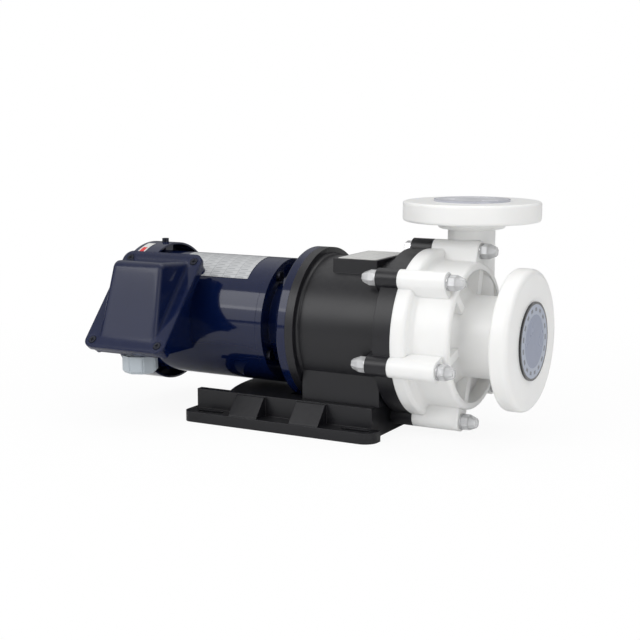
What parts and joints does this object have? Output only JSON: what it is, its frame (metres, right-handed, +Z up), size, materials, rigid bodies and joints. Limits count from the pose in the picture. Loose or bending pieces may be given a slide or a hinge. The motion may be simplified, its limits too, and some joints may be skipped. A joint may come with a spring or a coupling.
{
  "type": "magnetic drive chemical pump",
  "caption": "Close-coupled magnetic drive centrifugal pump with flanged end suction and top discharge, on a slotted base, driven by a flange motor with a terminal box.",
  "frame": {"origin": "centre of the four base slots, on the underside of the base", "axes": "+X along the shaft towards the suction flange, +Z up towards the discharge flange, the terminal box on the -Y side"},
  "size_m": [0.453, 0.2542, 0.232],
  "materials": {
    "natural_plastic": "moulded",
    "black_plastic": "moulded",
    "navy_paint": "gloss paint",
    "stainless_steel": "machined",
    "bearing_steel": "ground",
    "ceramic": "ground",
    "carbon": "ground",
    "magnet": "sintered",
    "cast_iron": "machined casting",
    "core_steel": "laminated",
    "copper": "varnished wire",
    "aluminium": "cast",
    "cap_plastic": "translucent",
    "rubber": "moulded",
    "board_resin": "moulded",
    "brass": "machined",
    "grey_plastic": "moulded",
    "plate_metal": "satin",
    "label": "printed",
    "cover_film": "printed film"
  },
  "bodies": {
    "frame": {"base": "black_plastic", "base_screws": "stainless_steel", "bearing_outer_rings": "bearing_steel", "board_screws": "stainless_steel", "bracket": "black_plastic", "bracket_nameplate": "label", "casing_nut_caps": "cap_plastic", "casing_nuts": "stainless_steel", "casing_seal_ring": "rubber", "casing_studs": "stainless_steel", "casing_washers": "stainless_steel", "containment_can": "natural_plastic", "drive_end_shield": "navy_paint", "end_windings": "copper", "fan_cover": "navy_paint", "fan_cover_screws": "stainless_steel", "flange_bolts": "stainless_steel", "flange_washers": "stainless_steel", "front_casing": "natural_plastic", "gland_body": "grey_plastic", "gland_locknut": "grey_plastic", "gland_nut": "grey_plastic", "gland_seal": "rubber", "liner_ring": "ceramic", "motor_nameplate": "plate_metal", "motor_shell": "navy_paint", "preload_washer": "stainless_steel", "rear_end_shield": "navy_paint", "rear_thrust_ring": "ceramic", "rotation_label": "label", "spindle": "ceramic", "stator_core": "core_steel", "terminal_board": "board_resin", "terminal_box": "navy_paint", "terminal_cover": "navy_paint", "terminal_cover_screws": "stainless_steel", "terminal_gasket": "rubber", "terminal_nuts": "brass", "terminal_studs": "brass", "tie_bolts": "stainless_steel"},
    "motor_rotor": {"motor_shaft": "stainless_steel", "rotor_core": "core_steel", "rotor_end_rings": "aluminium", "bearing_inner_rings": "bearing_steel", "bearing_balls": "bearing_steel", "cooling_fan": "black_plastic", "fan_clip": "stainless_steel", "drive_magnet_cup": "cast_iron", "drive_magnets": "magnet", "drive_key": "stainless_steel", "hub_set_screw": "stainless_steel"},
    "pump_rotor": {"impeller": "natural_plastic", "mouth_ring": "carbon", "magnet_capsule": "natural_plastic", "inner_magnets": "magnet", "bearing_bush": "carbon"},
    "suction_cover": {"suction_port_cover": "cover_film"},
    "discharge_cover": {"discharge_port_cover": "cover_film"}
  },
  "joints": [
    {"name": "shaft_spin", "type": "hinge", "parent": "frame", "child": "motor_rotor", "pos_m": [0, 0, 0.1], "axis": [1, 0, 0], "continuous": true},
    {"name": "impeller_spin", "type": "hinge", "parent": "frame", "child": "pump_rotor", "pos_m": [0.1, 0, 0.1], "axis": [1, 0, 0], "continuous": true},
    {"name": "suction_cover_pull", "type": "slide", "parent": "frame", "child": "suction_cover", "axis": [1, 0, 0], "range_m": [0, 0.15]},
    {"name": "discharge_cover_pull", "type": "slide", "parent": "frame", "child": "discharge_cover", "axis": [0, 0, 1], "range_m": [0, 0.15]}
  ],
  "couplings": [
    {"joint": "impeller_spin", "follows": "shaft_spin", "ratio": 1}
  ]
}
